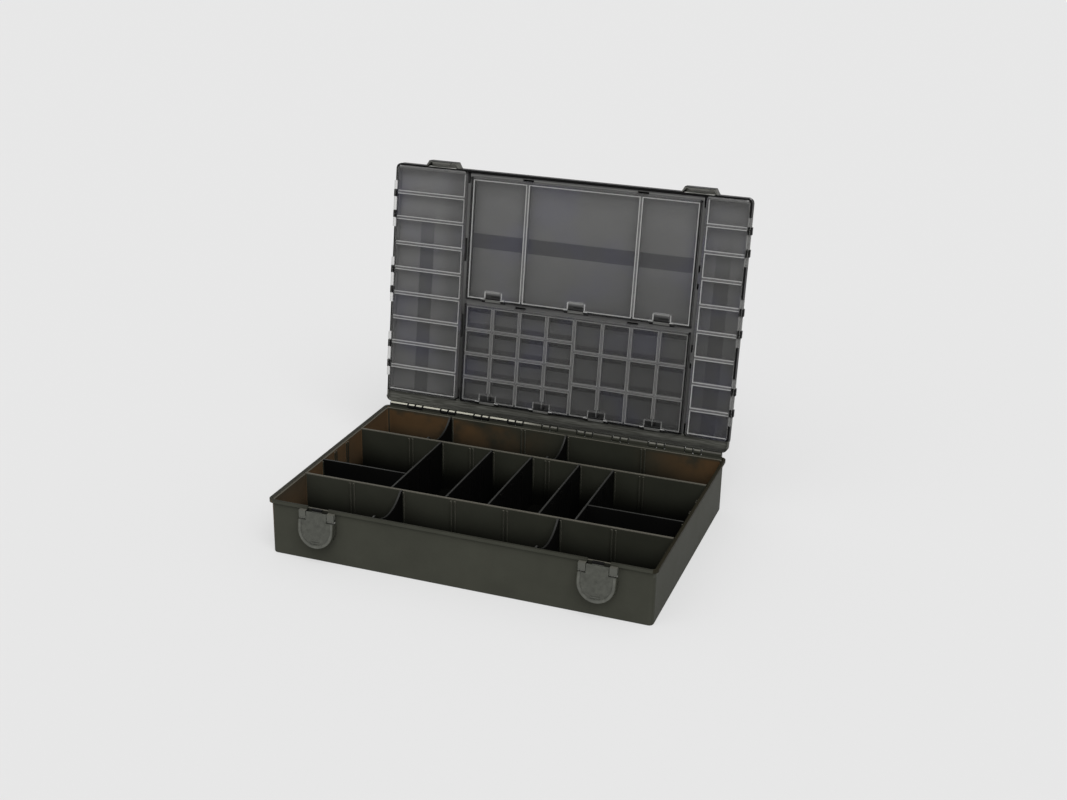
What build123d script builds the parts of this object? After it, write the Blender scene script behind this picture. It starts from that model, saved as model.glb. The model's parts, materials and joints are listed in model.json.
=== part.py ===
from build123d import *
import math
import os

# A flat tackle box: a divided tray, and a shallow divided lid whose compartments
# have their own smoked covers. Millimetres. The origin is the middle of the
# tray's underside, the latches face -Y and +Z is up. The lid is modelled closed
# and then turned open about the hinge, which is how the box is at rest.

# Tray
tray_length = 360.0
tray_depth = 247.0
tray_height = 53.4
tray_corner = 5.5
tray_wall = 1.6
floor_thickness = 2.0
foot_radius = 1.5
rim_height = 3.0
rim_overhang = 2.2
rim_step_width = 1.7
rim_step_depth = 2.0

# Long walls and the slots for the dividers
row_wall = 1.8
row_wall_offset = 57.9
row_wall_drop = 1.0
slot_rib_width = 1.3
slot_rib_depth = 1.3
slot_rib_drop = 2.0
slot_play = 0.3
front_slot_first = -128.5
front_slot_pitch = 50.3
front_slot_count = 6
back_slots = (-105.5, -27.0, 19.0, 98.0)
middle_slots = (-122.0, -89.3, -57.4, -35.9, 5.0, 20.9, 53.1, 86.9, 114.4)
end_slot_pitch = 24.3
end_slot_count = 3

# Dividers
divider_thickness = 1.7
cross_divider_slot_numbers = (1, 3, 4, 6, 7)
front_divider_slot_numbers = (1, 4)
back_divider_slot_numbers = (0, 2)
scoop_depth = 11.2
scoop_shoulder = 4.0

# Main hinge
hinge_behind_rim = 0.6
hinge_above_rim = 1.3
knuckle_radius = 2.8
rod_radius = 1.1
rod_play = 0.06
rod_end_gap = 0.5
tray_knuckle_length = 19.3
tray_knuckle_count = 10
lid_knuckle_length = 7.2
knuckle_gap = 1.0
hinge_play = 0.35
open_angle = 97.6
stop_width = 8.0
stop_thickness = 2.0
stop_play = 0.3
stop_end_knuckle_count = 2

# Lid
lid_gap = 0.4
lid_height = 12.0
lid_corner = 5.5
lid_skin = 1.5
lid_edge_radius = 2.2
lid_front_setback = 0.2
lid_side_wall = 1.6
strip_height = 6.8
strip_recess = 3.6
band_height = 0.6
band_left_inset = 26.0
band_right_inset = 16.5
band_top_margin = 62.4
band_width = 14.5

# Lid compartments and their covers, along X and along the lid from its hinge
cover_start = 14.4
side_cover_margin = 2.1
centre_cover_margin = 6.8
left_column_width = 76.4
right_column_width = 43.0
left_channel_width = 5.1
right_channel_width = 4.4
lower_cover_length = 100.2
middle_channel_width = 5.1
side_cell_count = 9
lower_column_count = 8
lower_row_count_left = 4
lower_row_count_right = 3
cell_border = 1.5
cell_wall = 1.2
channel_depth = 4.4
cover_thickness = 1.4
cover_sink = 0.1
cover_play = 0.35
cover_seat_play = 0.3
cover_corner = 1.5
side_cover_corner = 3.0
lip_width = 0.9
lip_height = 1.2

# Cover hinges
cover_axis_depth = 2.8
cover_pin_radius = 0.9
cover_pin_play = 0.07
cover_knuckle_radius = 1.6
lug_radius = 1.95
lug_mouth = 1.4
lug_play = 0.35
hinge_well_depth = 5.2
hinge_well_width = 2.6
side_axis_inset = 0.0
side_cover_setback = 2.0
side_shelf = 0.6
side_arm_middle = 13.1
side_arm_outer = 8.5
side_lug_length = 7.1
side_notch_depth = 2.5
centre_axis_inset = 0.8
centre_wall_drop = 0.7
centre_lug_length = 16.0
centre_arm_length = 4.0
centre_notch_depth = 7.8
upper_station_count = 3
lower_station_count = 4
catch_reach = 1.6
catch_length = 11.0
catch_well_length = 23.0
catch_well_depth = 9.0
catch_well_width = 2.2
corner_well_length = 11.0

# Latches
latch_from_end = 50.2
latch_width = 34.4
latch_length = 27.6
latch_axis_drop = 8.8
latch_axis_forward = 0.9
latch_pin_radius = 1.0
latch_pin_play = 0.07
latch_hub_radius = 2.3
latch_plate = 1.6
latch_front = 4.1
latch_border_width = 3.0
latch_border_height = 0.6
latch_skirt = 1.4
latch_skirt_back = 1.3
latch_play = 0.4
latch_neck_width = 19.8
latch_neck_rise = 5.2
finger_width = 10.0
finger_back = 1.4
finger_thickness = 1.3
barb_reach = 0.9
barb_height = 1.2
barb_top_drop = 0.3
rest_tilt = 7.5
grip_rib_length = 8.0
grip_rib_height = 0.5
grip_rib_count = 2
grip_rib_pitch = 2.2
ear_width = 6.8
ear_radius = 2.6
ear_rise = 6.0

# Hoods on the lid's free edge, which drop over the latches
hood_base_width = 35.5
hood_front_width = 29.0
hood_reach = 5.5
hood_wall = 1.4
hood_tongue_width = 19.0
hood_tongue_drop = 3.2
hood_ledge = 1.0
hood_ledge_height = 1.3

# How far a cut runs past the face it opens, and a root into what carries it
overcut = 1.0
root_length = 1.0

# Places worked out from the sizes above
half_length = tray_length / 2
half_depth = tray_depth / 2
inner_x = half_length - rim_overhang - tray_wall
inner_y = half_depth - rim_overhang - tray_wall
wall_y = half_depth - rim_overhang
row_top = tray_height - row_wall_drop
hinge_y = half_depth + hinge_behind_rim
hinge_z = tray_height + hinge_above_rim
hinge_axis = Axis((0, hinge_y, hinge_z), (1, 0, 0))
lid_plane = tray_height + lid_gap
lid_rear = knuckle_radius + hinge_play
lid_reach = hinge_y + half_depth - lid_front_setback
knuckle_pitch = tray_knuckle_length + 2 * lid_knuckle_length + 3 * knuckle_gap
hinge_start = -((tray_knuckle_count - 1) * knuckle_pitch + tray_knuckle_length) / 2
rim_front = -half_depth
side_cover_end = lid_reach - side_cover_margin
left_cover_edge = left_column_width - half_length
right_cover_edge = half_length - right_column_width
centre_left = left_cover_edge + left_channel_width
centre_right = right_cover_edge - right_channel_width
lower_cover_end = cover_start + lower_cover_length
upper_cover_start = lower_cover_end + middle_channel_width
upper_cover_end = lid_reach - centre_cover_margin
band_left = band_left_inset - half_length
band_right = half_length - band_right_inset
band_top = lid_reach - band_top_margin
latch_offset = half_length - latch_from_end
latch_axis_height = tray_height - latch_axis_drop
latch_bottom = latch_axis_height - latch_length
latch_neck_top = latch_axis_height + latch_neck_rise
ear_top = latch_axis_height + ear_rise
barb_top = tray_height - barb_top_drop
hood_tongue_bottom = tray_height - hood_tongue_drop
latch_axis_y = rim_front - latch_axis_forward
latch_axis = Axis((0, latch_axis_y, latch_axis_height), (1, 0, 0))


def block(x0, x1, y0, y1, z0, z1):
    """A box between two corners."""
    size = (x1 - x0, y1 - y0, z1 - z0)
    middle = ((x0 + x1) / 2, (y0 + y1) / 2, (z0 + z1) / 2)
    return Pos(*middle) * Box(*size)


def rounded_block(width, depth, z0, z1, radius):
    """A box with round upright edges, centred on the origin."""
    outline = RectangleRounded(width, depth, radius)
    return extrude(Pos(0, 0, z0) * outline, z1 - z0)


def rod_along_x(x0, x1, y, z, radius):
    """A round bar along X."""
    return Pos((x0 + x1) / 2, y, z) * Rot(0, 90, 0) * Cylinder(radius, x1 - x0)


def front_slots():
    """Places along X of the front row's slots."""
    return [front_slot_first + i * front_slot_pitch for i in range(front_slot_count)]


def end_slots():
    """Places along Y of the slots in the end walls of the middle row."""
    first = -(end_slot_count - 1) * end_slot_pitch / 2
    return [first + i * end_slot_pitch for i in range(end_slot_count)]


def rib_pair_offsets():
    """Middles of the two ribs of a slot, from the middle of the slot."""
    step = divider_thickness / 2 + slot_play + slot_rib_width / 2
    return (-step, step)


def slot_ribs_across(places, face, direction):
    """Rib pairs on a wall that runs along X; direction points into the compartment."""
    root = face - direction * tray_wall / 2
    tip = face + direction * slot_rib_depth
    low, high = min(root, tip), max(root, tip)
    half = slot_rib_width / 2
    ribs = []
    for place in places:
        for step in rib_pair_offsets():
            middle = place + step
            ribs.append(block(middle - half, middle + half, low, high,
                              floor_thickness / 2, row_top - slot_rib_drop))
    return ribs


def slot_ribs_along(places, face, direction, root_depth, top):
    """Rib pairs on a wall that runs along Y; direction points into the compartment."""
    root = face - direction * root_depth
    tip = face + direction * slot_rib_depth
    low, high = min(root, tip), max(root, tip)
    half = slot_rib_width / 2
    ribs = []
    for place in places:
        for step in rib_pair_offsets():
            middle = place + step
            ribs.append(block(low, high, middle - half, middle + half,
                              floor_thickness / 2, top))
    return ribs


def tray_knuckle_spans():
    """Start and end along X of each of the tray's knuckles."""
    starts = [hinge_start + i * knuckle_pitch for i in range(tray_knuckle_count)]
    return [(start, start + tray_knuckle_length) for start in starts]


def lid_knuckle_spans():
    """Start and end along X of the lid's knuckles, two between each pair of the tray's."""
    spans = []
    for start, end in tray_knuckle_spans()[:-1]:
        first = end + knuckle_gap
        second = first + lid_knuckle_length + knuckle_gap
        spans.append((first, first + lid_knuckle_length))
        spans.append((second, second + lid_knuckle_length))
    return spans


def make_tray_shell():
    """Floor, four walls and the stepped rim bead."""
    walls = rounded_block(tray_length - 2 * rim_overhang, tray_depth - 2 * rim_overhang,
                          0, tray_height, tray_corner - rim_overhang / 2)
    foot_edges = walls.faces().sort_by(Axis.Z)[0].edges()
    walls = fillet(foot_edges, foot_radius)
    bead = rounded_block(tray_length, tray_depth, tray_height - rim_height, tray_height,
                         tray_corner)
    cavity = rounded_block(2 * inner_x, 2 * inner_y, floor_thickness, tray_height,
                           tray_corner - rim_overhang / 2 - tray_wall / 2)
    step = rounded_block(2 * (inner_x + rim_step_width), 2 * (inner_y + rim_step_width),
                         tray_height - rim_step_depth, tray_height,
                         tray_corner - rim_overhang / 2)
    return walls + bead - [cavity, step]


def make_row_walls():
    """The two long walls and every slot rib."""
    pieces = []
    reach = inner_x + rim_step_width / 2
    for side in (-1, 1):
        middle = side * row_wall_offset
        pieces.append(block(-reach, reach, middle - row_wall / 2, middle + row_wall / 2,
                            floor_thickness / 2, row_top))
    inside = row_wall_offset - row_wall / 2
    outside = row_wall_offset + row_wall / 2
    pieces += slot_ribs_across(front_slots(), -inner_y, 1)
    pieces += slot_ribs_across(front_slots(), -outside, -1)
    pieces += slot_ribs_across(back_slots, outside, 1)
    pieces += slot_ribs_across(back_slots, inner_y, -1)
    pieces += slot_ribs_across(middle_slots, -inside, 1)
    pieces += slot_ribs_across(middle_slots, inside, -1)
    rib_top = row_top - slot_rib_drop
    pieces += slot_ribs_along(end_slots(), -inner_x, 1, tray_wall / 2, rib_top)
    pieces += slot_ribs_along(end_slots(), inner_x, -1, tray_wall / 2, rib_top)
    return pieces


def make_tray_hinge():
    """The tray's knuckles on their feet, and the lugs that stop the open lid."""
    pieces = []
    foot_bottom = tray_height - rim_height
    for start, end in tray_knuckle_spans():
        pieces.append(rod_along_x(start, end, hinge_y, hinge_z, knuckle_radius))
        pieces.append(block(start, end, wall_y, hinge_y + knuckle_radius,
                            foot_bottom, hinge_z))
    # The open lid's rear face ends this far behind the hinge, and the lug meets it there
    lean = math.radians(open_angle - 90)
    stop_front = hinge_y + knuckle_radius - stop_thickness / 2
    stop_back = stop_front + stop_thickness + stop_thickness / 2
    rear_face = lid_rear / math.cos(lean) - (stop_back - hinge_y) * math.tan(lean)
    spans = tray_knuckle_spans()
    for i in (stop_end_knuckle_count, tray_knuckle_count - 1 - stop_end_knuckle_count):
        start, end = spans[i]
        middle = (start + end) / 2
        pieces.append(block(middle - stop_width / 2, middle + stop_width / 2,
                            stop_front, stop_back,
                            foot_bottom, hinge_z + rear_face - stop_play))
    return pieces


def make_ears(middle):
    """Two ears, round about the latch's pin, that carry the pin's ends."""
    pieces = []
    root = -wall_y + tray_wall / 2
    inner = latch_neck_width / 2 + slot_play
    for side in (-1, 1):
        x0, x1 = sorted((middle + side * inner, middle + side * (inner + ear_width)))
        pieces.append(rod_along_x(x0, x1, latch_axis_y, latch_axis_height, ear_radius))
        pieces.append(block(x0, x1, latch_axis_y - ear_radius, root,
                            latch_axis_height, ear_top))
        pieces.append(block(x0, x1, latch_axis_y, root,
                            latch_axis_height - ear_radius, ear_top))
    return pieces


def make_tray():
    tray = make_tray_shell()
    tray += make_row_walls()
    tray += make_tray_hinge()
    for side in (-1, 1):
        tray += make_ears(side * latch_offset)
    cuts = []
    bore = rod_radius + rod_play
    half_hinge = -hinge_start
    cuts.append(rod_along_x(-half_hinge, half_hinge, hinge_y, hinge_z, bore))
    for start, end in lid_knuckle_spans():
        cuts.append(rod_along_x(start - knuckle_gap, end + knuckle_gap, hinge_y, hinge_z,
                                knuckle_radius + hinge_play))
    for side in (-1, 1):
        middle = side * latch_offset
        half = latch_neck_width / 2 + slot_play
        # The bead is open between the ears, where the latch's finger stands
        cuts.append(block(middle - half, middle + half, rim_front - overcut, -wall_y,
                          tray_height - rim_height - overcut, tray_height))
        cuts.append(rod_along_x(middle - latch_width / 2, middle + latch_width / 2,
                                latch_axis_y, latch_axis_height,
                                latch_pin_radius + latch_pin_play))
    return tray - cuts


def divider_plate(x0, x1, y0, y1):
    """A plain upright divider that stands on the tray's floor."""
    return block(x0, x1, y0, y1, floor_thickness, row_top)


def make_cross_divider(place):
    """A divider across the middle row, with slots for short dividers on both faces."""
    half = divider_thickness / 2
    end = row_wall_offset - row_wall / 2 - slot_play
    divider = divider_plate(place - half, place + half, -end, end)
    rib_top = row_top - 2 * slot_rib_drop
    ribs = []
    for side in (-1, 1):
        ribs += slot_ribs_along(end_slots(), place + side * half, side, half, rib_top)
    raised = block(place - tray_wall * 2, place + tray_wall * 2, -end, end,
                   floor_thickness, row_top)
    ribs = [rib & raised for rib in ribs]
    return divider + ribs


def make_short_divider(side):
    """A lengthwise divider from an end wall to the nearest cross divider."""
    nearest = middle_slots[cross_divider_slot_numbers[0 if side < 0 else -1]]
    wall_end = side * (inner_x - slot_play)
    divider_end = nearest + side * (divider_thickness / 2 + slot_play)
    x0, x1 = sorted((wall_end, divider_end))
    place = end_slots()[0]
    half = divider_thickness / 2
    return divider_plate(x0, x1, place - half, place + half)


def make_scooped_divider(place, side):
    """A divider across the front or back row, with a finger scoop in its top edge."""
    half = divider_thickness / 2
    y0, y1 = sorted((side * (row_wall_offset + row_wall / 2 + slot_play),
                     side * (inner_y - slot_play)))
    left = (y0 + scoop_shoulder, row_top)
    right = (y1 - scoop_shoulder, row_top)
    low = ((y0 + y1) / 2, row_top - scoop_depth)
    outline = Polyline((right[0], right[1]), (y1, row_top), (y1, floor_thickness),
                       (y0, floor_thickness), (y0, row_top), (left[0], left[1]))
    outline += ThreePointArc(left, low, right)
    face = make_face(outline)
    upright = Plane(origin=(place - half, 0, 0), x_dir=(0, 1, 0), z_dir=(1, 0, 0))
    return extrude(upright * face, divider_thickness)


class Cover:
    """Where one cover lies, and how its hinge and compartments are laid out.

    The cover's own frame has its origin on the hinge axis, X along the axis, Y
    across the cover and Z out of the lid. The panel runs from edge to far along Y.
    """

    def __init__(self, middle, along, length, edge, far):
        self.plane = Plane(origin=middle, x_dir=along, z_dir=(0, 0, -1))
        self.length = length
        self.edge = edge
        self.far = far
        self.hinge_border = cell_border
        self.corner = cover_corner
        self.columns = []
        self.stations = []
        self.lugs = []
        self.arms = []
        self.catches = []
        self.well_length = catch_length
        self.corner_wells = False
        self.open_lips = False
        self.wall_end = edge - cover_play
        self.corner_relief = 0.0
        self.wall_drop = 0.0
        self.notch_depth = side_notch_depth

    def notches(self):
        """Start and end along X of the notches in the cover, one for each of the lid's lugs."""
        found = []
        for station in self.stations:
            for x0, x1 in self.lugs:
                found.append((station + x0 - lug_play, station + x1 + lug_play))
        return found

    def cells(self):
        """Compartments under the cover: x0, x1, y0, y1 in the cover's frame."""
        found = []
        x_size = self.length - 2 * cell_border
        y_start = self.edge + self.hinge_border
        y_size = self.far - cell_border - y_start
        total = sum(share for share, rows in self.columns)
        walls = cell_wall * (len(self.columns) - 1)
        x0 = cell_border - self.length / 2
        for share, rows in self.columns:
            x1 = x0 + (x_size - walls) * share / total
            height = (y_size - cell_wall * (rows - 1)) / rows
            for row in range(rows):
                y0 = y_start + row * (height + cell_wall)
                found.append((x0, x1, y0, y0 + height))
            x0 = x1 + cell_wall
        return found

    def wall_field(self):
        """The area that the compartment walls stand in: x0, x1, y0, y1."""
        half = self.length / 2 - cell_border
        return (-half, half, hinge_well_width, self.far + cover_play)

    def outline(self, grow):
        """The panel's outline, grown all round by a clearance."""
        size = (self.length + 2 * grow, self.far - self.edge + 2 * grow)
        shape = RectangleRounded(*size, self.corner + grow)
        return Pos(0, (self.edge + self.far) / 2) * shape


def side_cover(side):
    """The narrow cover along one end of the lid, hinged on the lid's outer edge."""
    inner_edge = left_cover_edge if side < 0 else right_cover_edge
    middle_along = (cover_start + side_cover_end) / 2
    axis_x = half_length - side_axis_inset
    middle = (side * axis_x, hinge_y - middle_along, lid_plane + cover_axis_depth)
    length = side_cover_end - cover_start
    edge = side_cover_setback - side_axis_inset
    cover = Cover(middle, (0, -side, 0), length, edge, axis_x - side * inner_edge)
    cover.hinge_border = side_shelf
    cover.corner = side_cover_corner
    cover.corner_relief = edge + side_cover_corner + cover_play
    cover.open_lips = True
    cover.columns = [(1, 1)] * side_cell_count
    spacing = length / 3
    cover.stations = [-spacing, 0, spacing]
    cover.catches = [-spacing / 2, spacing / 2]
    cover.well_length = catch_well_length
    cover.corner_wells = True
    inner = side_arm_middle / 2
    outer = inner + lug_play + side_lug_length + lug_play
    lug = (inner + lug_play, inner + lug_play + side_lug_length)
    cover.lugs = [(-lug[1], -lug[0]), lug]
    cover.arms = [(-outer - side_arm_outer, -outer), (-inner, inner),
                  (outer, outer + side_arm_outer)]
    return cover


def centre_cover(start, end, station_count, columns):
    """A wide cover in the middle of the lid, hinged along its edge nearest the hinge."""
    middle = ((centre_left + centre_right) / 2, hinge_y - start - centre_axis_inset,
              lid_plane + cover_axis_depth)
    length = centre_right - centre_left
    cover = Cover(middle, (1, 0, 0), length, -centre_axis_inset,
                  end - start - centre_axis_inset)
    cover.wall_end = cover.edge + cell_border
    cover.wall_drop = centre_wall_drop
    cover.columns = columns
    if station_count == lower_station_count:
        pitch = length / station_count
    else:
        pitch = length * 3 / 8
    first = -(station_count - 1) * pitch / 2
    cover.stations = [first + i * pitch for i in range(station_count)]
    cover.catches = [-length / 4, length / 4]
    half = centre_lug_length / 2
    inner = half + lug_play
    cover.lugs = [(-half, half)]
    cover.arms = [(-inner - centre_arm_length, -inner), (inner, inner + centre_arm_length)]
    cover.notch_depth = centre_notch_depth
    return cover


def all_covers():
    half_columns = lower_column_count // 2
    lower = [(1, lower_row_count_left)] * half_columns + [(1, lower_row_count_right)] * half_columns
    return {
        "left_cover": side_cover(-1),
        "right_cover": side_cover(1),
        "upper_cover": centre_cover(upper_cover_start, upper_cover_end,
                                    upper_station_count, [(1, 1), (2, 1), (1, 1)]),
        "lower_cover": centre_cover(cover_start, lower_cover_end,
                                    lower_station_count, lower),
    }


def lip_ring(cover, cell):
    """The outline of one compartment's sealing lip, led round the hinge's notches."""
    x0, x1, y0, y1 = cell
    size = (x1 - x0 - 2 * cover_play, y1 - y0 - 2 * cover_play)
    outer = Pos((x0 + x1) / 2, (y0 + y1) / 2) * Rectangle(*size)
    for start, end in cover.notches():
        if start < x1 and end > x0:
            notch = Rectangle(end - start, 2 * cover.notch_depth)
            outer -= Pos((start + end) / 2, 0) * notch
    ring = outer - offset(outer, -lip_width, kind=Kind.INTERSECTION)
    if cover.open_lips:
        gap = size[0] - 2 * lip_width
        reach = 2 * (cover_play + lip_width) + 2 * cover.notch_depth
        ring -= Pos((x0 + x1) / 2, y0) * Rectangle(gap, reach)
    return ring


def make_cover(cover):
    """Smoked panel, sealing lips round each compartment, knuckles and hinge pins."""
    top = cover_axis_depth - cover_sink
    under = top - cover_thickness
    panel = extrude(Pos(0, 0, under) * cover.outline(0), cover_thickness)
    lips = []
    for cell in cover.cells():
        ring = Pos(0, 0, under - lip_height) * lip_ring(cover, cell)
        lips.append(extrude(ring, lip_height + cover_thickness / 2))
    catches = []
    half = catch_length / 2
    for place in cover.catches:
        catches.append(block(place - half, place + half, cover.far - root_length,
                             cover.far + catch_reach, under, top))
    panel += lips + catches
    cuts = []
    for start, end in cover.notches():
        cuts.append(block(start, end, cover.edge - overcut, cover.notch_depth,
                          -lug_radius, top + overcut))
    knuckles = []
    for station in cover.stations:
        for x0, x1 in cover.arms:
            start, end = station + x0, station + x1
            knuckles.append(rod_along_x(start, end, 0, 0, cover_knuckle_radius))
            root = min(cover.edge, -cover_knuckle_radius / 2)
            knuckles.append(block(start, end, root, hinge_well_width - cover_play,
                                  0, top))
        first = cover.arms[0][0]
        last = cover.arms[-1][1]
        knuckles.append(rod_along_x(station + first, station + last, 0, 0,
                                    cover_pin_radius))
    panel -= cuts
    panel += knuckles
    return cover.plane * panel


def lid_cover_cuts(cover):
    """What the lid gives up for one cover: recess, compartments and hinge wells."""
    axis = cover_axis_depth
    under = axis - cover_sink - cover_thickness
    seat = under - cover_seat_play
    half = cover.length / 2 + cover_play
    cuts = [extrude(Pos(0, 0, seat) * cover.outline(cover_play), axis + overcut - seat)]
    # The wall beside the hinge stays under the swing of the cover's edge
    cuts.append(block(-half, half, -hinge_well_width, cover.wall_end,
                      under - cover.wall_drop, axis + overcut))
    if cover.corner_relief > 0:
        relief = cover.corner_relief
        for x0, x1 in ((-half - relief, relief - half), (half - relief, half + relief)):
            cuts.append(block(x0, x1, -hinge_well_width, relief, under, axis + overcut))
    bottom = axis - (lid_height - lid_skin)
    for x0, x1, y0, y1 in cover.cells() + [cover.wall_field()]:
        cuts.append(block(x0, x1, y0, y1, bottom, axis + overcut))
    for station in cover.stations:
        start = station + cover.arms[0][0] - lug_play
        end = station + cover.arms[-1][1] + lug_play
        cuts.append(block(start, end, -hinge_well_width, hinge_well_width,
                          axis - hinge_well_depth, axis + overcut))
    cuts += catch_wells(cover)
    return cover.plane * Compound(children=cuts)


def make_compartment_walls(cover):
    """The thin walls between one cover's compartments, with the wall along its free edge."""
    bottom = cover_axis_depth - (lid_height - lid_skin)
    seat = cover_axis_depth - cover_sink - cover_thickness - cover_seat_play
    x0, x1, y0, y1 = cover.wall_field()
    walls = block(x0, x1, y0, y1, bottom, seat)
    cuts = []
    for x0, x1, y0, y1 in cover.cells():
        cuts.append(block(x0, x1, y0, y1, bottom - overcut, seat + overcut))
    return cover.plane * (walls - cuts)


def lid_cover_lugs(cover):
    """The lid's open-mouthed lugs that the cover's pins snap into."""
    lugs = []
    floor = cover_axis_depth - hinge_well_depth - cell_wall / 2
    for x0, x1 in cover.notches():
        start, end = x0 + lug_play, x1 - lug_play
        lug = rod_along_x(start, end, 0, 0, lug_radius)
        lug += block(start, end, -lug_radius, lug_radius, floor, 0)
        lug -= rod_along_x(start, end, 0, 0, cover_pin_radius + cover_pin_play)
        lug -= block(start, end, -lug_mouth / 2, lug_mouth / 2, 0, lug_radius)
        lugs.append(cover.plane * lug)
    return lugs


def along_lid(x0, x1, t0, t1, n0, n1):
    """A box in the closed lid: t runs from the hinge to the free edge, n up from its rim."""
    return block(x0, x1, hinge_y - t1, hinge_y - t0, lid_plane + n0, lid_plane + n1)


def lid_channels():
    """Grooves between the covers."""
    play = cover_play
    left = (left_cover_edge + play, centre_left - play)
    right = (centre_right + play, right_cover_edge - play)
    start, end = cover_start, side_cover_end
    cuts = [
        along_lid(*left, start, end, -overcut, channel_depth),
        along_lid(*right, start, end, -overcut, channel_depth),
        along_lid(left[0], right[1], lower_cover_end + play, upper_cover_start - play,
                  -overcut, channel_depth),
        along_lid(left[0], right[1], upper_cover_end + play, end, -overcut, channel_depth),
    ]
    return cuts


def catch_wells(cover):
    """The lid's deep slots beside a cover's catches, which also let a fingertip in."""
    top = cover_axis_depth + overcut
    bottom = cover_axis_depth - catch_well_depth
    near = cover.far + cover_play
    wells = []
    for place in cover.catches:
        half = cover.well_length / 2
        wells.append((place - half, place + half))
    if cover.corner_wells:
        edge = cover.length / 2
        wells.append((-edge, -edge + corner_well_length))
        wells.append((edge - corner_well_length, edge))
    cuts = [block(x0, x1, near, near + catch_well_width, bottom, top) for x0, x1 in wells]
    return cuts


def panel_block(n0, n1):
    """The space of the lid's outer panel, inside the lid's frame."""
    reach = half_length - hinge_well_width
    return along_lid(-reach, reach, cover_start + cell_border, side_cover_end - cell_border,
                     n0, n1)


def make_lid_shell():
    """The lid's frame with round edges and its low rear strip, open for the outer panel."""
    length_along = lid_reach - lid_rear
    middle_y = hinge_y - (lid_reach + lid_rear) / 2
    shell = Pos(0, middle_y, 0) * rounded_block(tray_length, length_along, lid_plane,
                                                lid_plane + lid_height, lid_corner)
    shell = fillet(shell.faces().sort_by(Axis.Z)[-1].edges(), lid_edge_radius)
    strip_end = cover_start - cell_border
    cuts = [along_lid(-half_length - overcut, half_length + overcut, lid_rear - overcut,
                      strip_end, strip_height, lid_height + overcut)]
    inner = half_length - lid_side_wall
    cuts.append(along_lid(-inner, inner, lid_rear + lid_side_wall, cover_start,
                          -overcut, strip_recess))
    cuts.append(panel_block(lid_height - lid_skin, lid_height + overcut))
    return shell - cuts


def make_lid_panel():
    """The lid's outer panel, with a low raised band: two stripes and one across them."""
    panel = panel_block(lid_height - lid_skin, lid_height)
    n0, n1 = lid_height - lid_skin / 2, lid_height + band_height
    start = cover_start + lid_edge_radius
    return panel + [
        along_lid(band_left, band_left + band_width, start, band_top, n0, n1),
        along_lid(band_right - band_width, band_right, start, band_top, n0, n1),
        along_lid(band_left, band_right, band_top - band_width, band_top, n0, n1),
    ]


def make_lid_hinge():
    """The lid's knuckles, each on an arm from the rear strip."""
    pieces = []
    for start, end in lid_knuckle_spans():
        pieces.append(rod_along_x(start, end, hinge_y, hinge_z, knuckle_radius))
        pieces.append(along_lid(start, end, 0, lid_rear + lid_side_wall,
                                0, hinge_z - lid_plane + knuckle_radius))
    return pieces


def make_hood(middle):
    """A hollow hood on the free edge, with a hooked tongue that the latch holds."""
    front = -half_depth + lid_front_setback - hood_reach
    back = -half_depth + lid_front_setback
    top = lid_plane + lid_height - lid_edge_radius

    def hood_outline(inset, rear):
        base = hood_base_width / 2 - inset
        nose = hood_front_width / 2 - inset
        return Polyline((-base, rear), (-nose, front + inset), (nose, front + inset),
                        (base, rear), (-base, rear))

    outer = extrude(Pos(middle, 0, lid_plane) * make_face(hood_outline(0, back)),
                    top - lid_plane)
    inner = extrude(Pos(middle, 0, lid_plane) * make_face(hood_outline(hood_wall, back)),
                    top - lid_plane - hood_wall)
    half = hood_tongue_width / 2
    tongue = block(middle - half, middle + half, front, front + hood_wall,
                   hood_tongue_bottom, lid_plane + hood_wall)
    ledge = block(middle - half, middle + half, front, front + hood_wall + hood_ledge,
                  hood_tongue_bottom, hood_tongue_bottom + hood_ledge_height)
    return outer - inner + tongue + ledge


def make_lid():
    """The closed lid's frame, with its hinge and the lugs for its covers."""
    lid = make_lid_shell()
    cuts = lid_channels()
    covers = all_covers().values()
    for cover in covers:
        cuts.append(lid_cover_cuts(cover))
    lid -= cuts
    pieces = make_lid_hinge()
    for cover in covers:
        pieces += lid_cover_lugs(cover)
    lid += pieces
    half_hinge = -hinge_start
    return lid - rod_along_x(-half_hinge, half_hinge, hinge_y, hinge_z,
                             rod_radius + rod_play)


def top_rail_space():
    """The space of the rail along the lid's free edge, beyond all the compartments."""
    return along_lid(-half_length - overcut, half_length + overcut,
                     side_cover_end - cell_border, lid_reach + overcut,
                     -overcut, lid_height + overcut)


def make_hinge_rod(side):
    """One of the two steel rods, pushed in from its end of the hinge."""
    x0, x1 = sorted((side * rod_end_gap, side * -hinge_start))
    return rod_along_x(x0, x1, hinge_y, hinge_z, rod_radius)


def latch_outline(inset, top):
    """The round-bottomed flap, drawn in X and Z."""
    radius = latch_width / 2
    half = radius - inset
    centre = latch_bottom + radius
    outline = Polyline((-half, centre), (-half, top - inset), (half, top - inset),
                       (half, centre))
    outline += ThreePointArc((-half, centre), (0, centre - half), (half, centre))
    return make_face(outline)


def latch_slab(outline, y0, y1):
    """The flap's outline made into a slab between two depths."""
    upright = Plane(origin=(0, y1, 0), x_dir=(1, 0, 0), z_dir=(0, -1, 0))
    return extrude(upright * outline, y1 - y0)


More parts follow.
